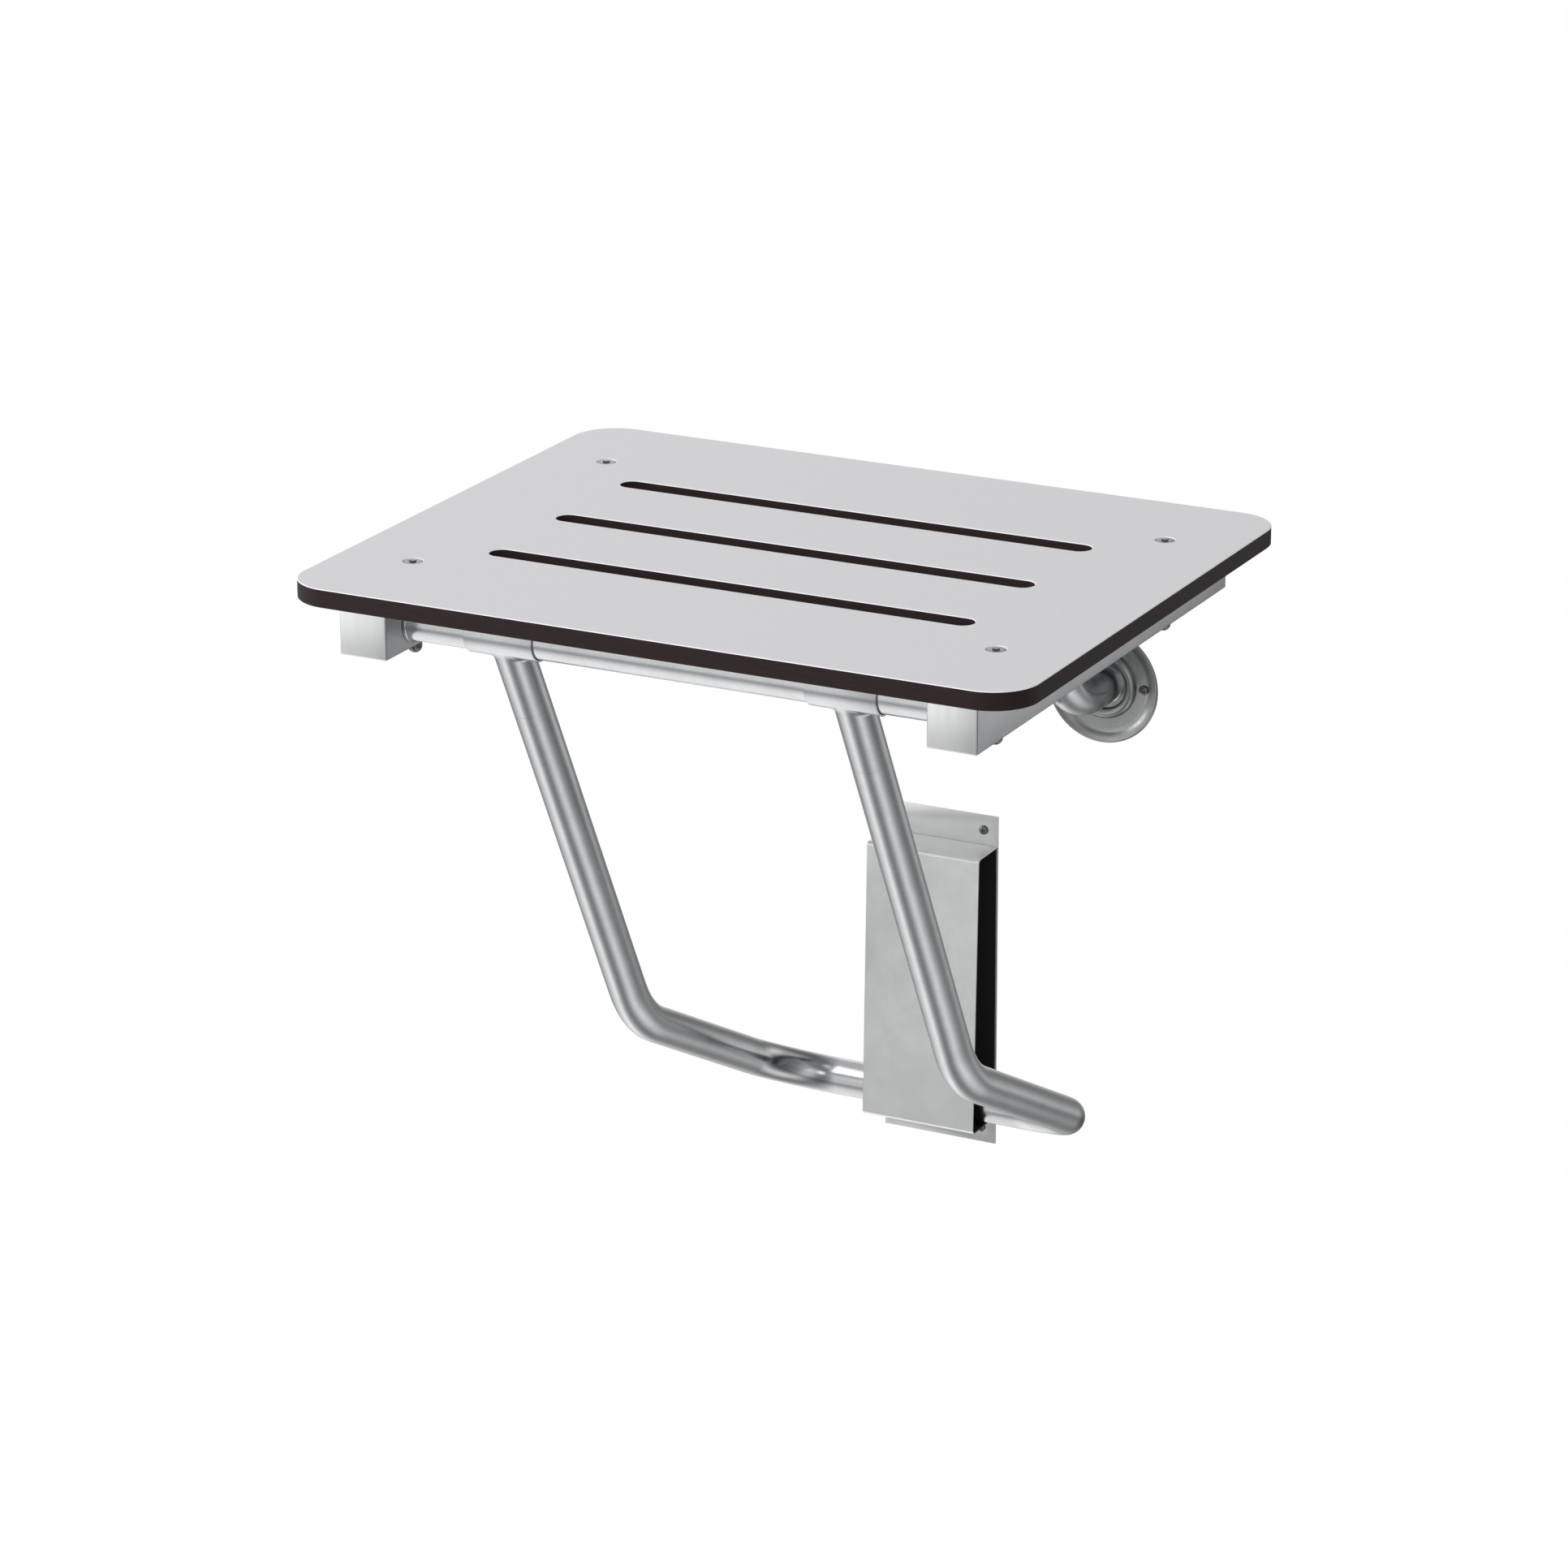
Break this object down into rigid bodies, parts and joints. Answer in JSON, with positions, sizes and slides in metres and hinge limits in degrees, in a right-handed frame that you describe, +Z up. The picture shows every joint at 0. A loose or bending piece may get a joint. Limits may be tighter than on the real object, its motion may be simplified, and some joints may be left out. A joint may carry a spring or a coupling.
{
  "type": "wall-mounted folding shower seat",
  "caption": "Slatted flat seat on a steel tube frame that folds up against the wall, with a bent leg frame whose rung slides in a wall guide.",
  "frame": {"origin": "centre of the back face of the lower guide plate, on the wall plane", "axes": "+X right seen from the room, +Y into the wall, +Z up"},
  "size_m": [0.5, 0.426, 0.477],
  "materials": {
    "brushed_tube": "brushed stainless tube",
    "satin_sheet": "satin stainless sheet",
    "bright_fastener": "bright stainless fastener",
    "laminate": "light grey compact laminate with a dark brown core at the edges",
    "nylon": "dark nylon"
  },
  "bodies": {
    "wall": {"guide_back_plate": "satin_sheet", "guide_channel": "satin_sheet", "wall_flange_left": "satin_sheet", "wall_flange_right": "satin_sheet", "wall_post_left": "brushed_tube", "wall_post_right": "brushed_tube", "rear_sleeve_left": "brushed_tube", "rear_sleeve_right": "brushed_tube", "flange_screw_left_left": "bright_fastener", "flange_screw_left_right": "bright_fastener", "flange_screw_right_left": "bright_fastener", "flange_screw_right_right": "bright_fastener", "guide_screw_low_left": "bright_fastener", "guide_screw_low_right": "bright_fastener", "guide_screw_high_left": "bright_fastener", "guide_screw_high_right": "bright_fastener"},
    "seat": {"seat_panel": "laminate", "seat_rail_left": "brushed_tube", "seat_rail_right": "brushed_tube", "front_cross_tube": "brushed_tube", "rear_cross_tube": "brushed_tube", "rail_front_cap_left": "brushed_tube", "rail_front_cap_right": "brushed_tube", "rail_back_cap_left": "brushed_tube", "rail_back_cap_right": "brushed_tube", "seat_screw_front_left": "bright_fastener", "seat_screw_front_right": "bright_fastener", "seat_screw_back_left": "bright_fastener", "seat_screw_back_right": "bright_fastener", "rail_washer_front_left": "bright_fastener", "rail_washer_front_right": "bright_fastener", "rail_washer_back_left": "bright_fastener", "rail_washer_back_right": "bright_fastener", "cap_nut_front_left": "bright_fastener", "cap_nut_front_right": "bright_fastener", "cap_nut_back_left": "bright_fastener", "cap_nut_back_right": "bright_fastener"},
    "leg_hinge": {"front_sleeve_left": "brushed_tube", "front_sleeve_right": "brushed_tube"},
    "glide": {"rung_glide": "nylon"},
    "leg_frame": {"leg_tube": "brushed_tube"}
  },
  "joints": [
    {"name": "seat_fold", "type": "hinge", "parent": "wall", "child": "seat", "pos_m": [0, -0.081, 0.3305], "axis": [-1, 0, 0], "range_deg": [0, 90]},
    {"name": "sleeve_turn", "type": "hinge", "parent": "seat", "child": "leg_hinge", "pos_m": [0, -0.376, 0.3305], "axis": [1, 0, 0], "range_deg": [0, 55.8]},
    {"name": "rung_slide", "type": "slide", "parent": "wall", "child": "glide", "axis": [0, 0, 1], "range_m": [0, 0.1641]},
    {"name": "leg_tilt", "type": "hinge", "parent": "glide", "child": "leg_frame", "pos_m": [0, -0.0157, -0.0832], "axis": [-1, 0, 0], "range_deg": [0, 34.3]}
  ],
  "couplings": [
    {"joint": "sleeve_turn", "follows": "seat_fold", "ratio": 0.6198},
    {"joint": "rung_slide", "follows": "seat_fold", "m_per_rad": 0.1044},
    {"joint": "leg_tilt", "follows": "seat_fold", "ratio": 0.3802}
  ]
}
